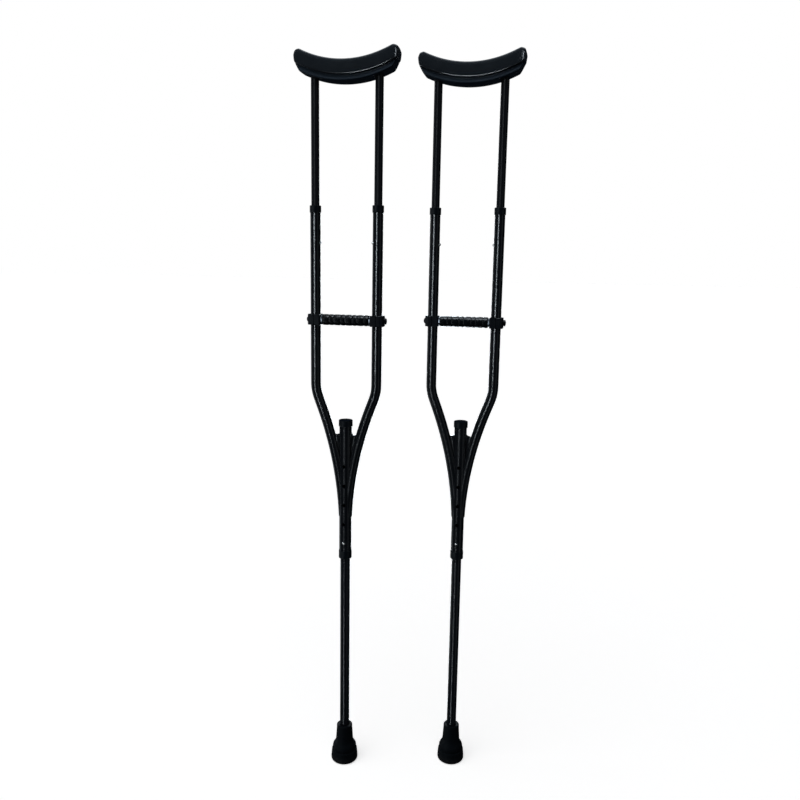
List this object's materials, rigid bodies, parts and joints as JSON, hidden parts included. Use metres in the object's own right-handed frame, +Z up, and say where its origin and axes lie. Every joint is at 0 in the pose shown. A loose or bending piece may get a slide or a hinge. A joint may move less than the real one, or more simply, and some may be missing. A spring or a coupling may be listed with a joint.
{
  "type": "underarm crutches",
  "caption": "Adjustable underarm crutches in black tube: padded tops on telescoping bows, ribbed handgrips, a telescoping leg held by snap buttons, and rubber ferrule tips.",
  "frame": {"origin": "on the floor, midway between the two crutches, which stand upright side by side, the right one half a crutch's depth further back", "axes": "+Z up along the crutches; +X from the left crutch to the right one, in the plane of each pair of bows; -Y towards the front, where the leg snap buttons are"},
  "size_m": [0.4094, 0.1084, 1.3948],
  "materials": {
    "powder_coat": "gloss",
    "satin_coat": "satin",
    "fitting_plastic": "satin",
    "core_plastic": "matte",
    "pad_skin": "satin",
    "pad_base": "satin",
    "grip_rubber": "satin",
    "tip_rubber": "matte",
    "black_fastener": "satin",
    "plain_steel": "satin",
    "bright_steel": "polished"
  },
  "bodies": {
    "left_frame": {"left_fore_bow_tube": "powder_coat", "left_aft_bow_tube": "powder_coat", "left_centre_tube": "powder_coat", "left_web_plates": "powder_coat", "left_top_cap": "fitting_plastic", "left_foot_collar": "fitting_plastic", "left_fore_collar": "fitting_plastic", "left_aft_collar": "fitting_plastic", "left_handgrip": "grip_rubber", "left_grip_core": "core_plastic", "left_grip_bolt": "black_fastener", "left_grip_nut": "black_fastener", "left_grip_washers": "plain_steel", "left_fore_inner_saddle": "fitting_plastic", "left_aft_inner_saddle": "fitting_plastic", "left_fore_outer_saddle": "fitting_plastic", "left_aft_outer_saddle": "fitting_plastic"},
    "left_upper": {"left_fore_upper_tube": "satin_coat", "left_aft_upper_tube": "satin_coat", "left_pad_saddle": "pad_base", "left_underarm_pad": "pad_skin", "left_pad_screws": "black_fastener", "left_upper_snap_springs": "plain_steel"},
    "left_leg": {"left_leg_tube": "powder_coat", "left_rubber_tip": "tip_rubber", "left_tip_disc": "plain_steel", "left_leg_snap_spring": "plain_steel"},
    "left_fore_button": {"left_fore_snap_button": "bright_steel"},
    "left_aft_button": {"left_aft_snap_button": "bright_steel"},
    "left_leg_button": {"left_leg_snap_button": "bright_steel"},
    "right_frame": {"right_fore_bow_tube": "powder_coat", "right_aft_bow_tube": "powder_coat", "right_centre_tube": "powder_coat", "right_web_plates": "powder_coat", "right_top_cap": "fitting_plastic", "right_foot_collar": "fitting_plastic", "right_fore_collar": "fitting_plastic", "right_aft_collar": "fitting_plastic", "right_handgrip": "grip_rubber", "right_grip_core": "core_plastic", "right_grip_bolt": "black_fastener", "right_grip_nut": "black_fastener", "right_grip_washers": "plain_steel", "right_fore_inner_saddle": "fitting_plastic", "right_aft_inner_saddle": "fitting_plastic", "right_fore_outer_saddle": "fitting_plastic", "right_aft_outer_saddle": "fitting_plastic"},
    "right_upper": {"right_fore_upper_tube": "satin_coat", "right_aft_upper_tube": "satin_coat", "right_pad_saddle": "pad_base", "right_underarm_pad": "pad_skin", "right_pad_screws": "black_fastener", "right_upper_snap_springs": "plain_steel"},
    "right_leg": {"right_leg_tube": "powder_coat", "right_rubber_tip": "tip_rubber", "right_tip_disc": "plain_steel", "right_leg_snap_spring": "plain_steel"},
    "right_fore_button": {"right_fore_snap_button": "bright_steel"},
    "right_aft_button": {"right_aft_snap_button": "bright_steel"},
    "right_leg_button": {"right_leg_snap_button": "bright_steel"}
  },
  "joints": [
    {"name": "left_pad_height", "type": "slide", "parent": "left_frame", "child": "left_upper", "axis": [0, 0, 1], "range_m": [-0.1, 0.02]},
    {"name": "left_leg_length", "type": "slide", "parent": "left_frame", "child": "left_leg", "axis": [0, 0, 1], "range_m": [0, 0.156], "deforming": ["left_leg_snap_button", "left_leg_snap_spring"]},
    {"name": "left_fore_button_press", "type": "slide", "parent": "left_upper", "child": "left_fore_button", "axis": [-1, 0, 0], "range_m": [0, 0.004], "stiffness_N_per_m": 800, "springref_m": -0.002, "deforming": ["left_upper_snap_springs"]},
    {"name": "left_aft_button_press", "type": "slide", "parent": "left_upper", "child": "left_aft_button", "axis": [1, 0, 0], "range_m": [0, 0.004], "stiffness_N_per_m": 800, "springref_m": -0.002, "deforming": ["left_upper_snap_springs"]},
    {"name": "left_leg_button_press", "type": "slide", "parent": "left_leg", "child": "left_leg_button", "axis": [0, 1, 0], "range_m": [0, 0.0042], "stiffness_N_per_m": 800, "springref_m": -0.002, "deforming": ["left_leg_snap_spring"]},
    {"name": "right_crutch_aside", "type": "slide", "parent": "left_frame", "child": "right_frame", "axis": [1, 0, 0], "range_m": [0, 0.4]},
    {"name": "right_pad_height", "type": "slide", "parent": "right_frame", "child": "right_upper", "axis": [0, 0, 1], "range_m": [-0.1, 0.02]},
    {"name": "right_leg_length", "type": "slide", "parent": "right_frame", "child": "right_leg", "axis": [0, 0, 1], "range_m": [0, 0.156], "deforming": ["right_leg_snap_button", "right_leg_snap_spring"]},
    {"name": "right_fore_button_press", "type": "slide", "parent": "right_upper", "child": "right_fore_button", "axis": [-1, 0, 0], "range_m": [0, 0.004], "stiffness_N_per_m": 800, "springref_m": -0.002, "deforming": ["right_upper_snap_springs"]},
    {"name": "right_aft_button_press", "type": "slide", "parent": "right_upper", "child": "right_aft_button", "axis": [1, 0, 0], "range_m": [0, 0.004], "stiffness_N_per_m": 800, "springref_m": -0.002, "deforming": ["right_upper_snap_springs"]},
    {"name": "right_leg_button_press", "type": "slide", "parent": "right_leg", "child": "right_leg_button", "axis": [0, 1, 0], "range_m": [0, 0.0042], "stiffness_N_per_m": 800, "springref_m": -0.002, "deforming": ["right_leg_snap_spring"]}
  ]
}
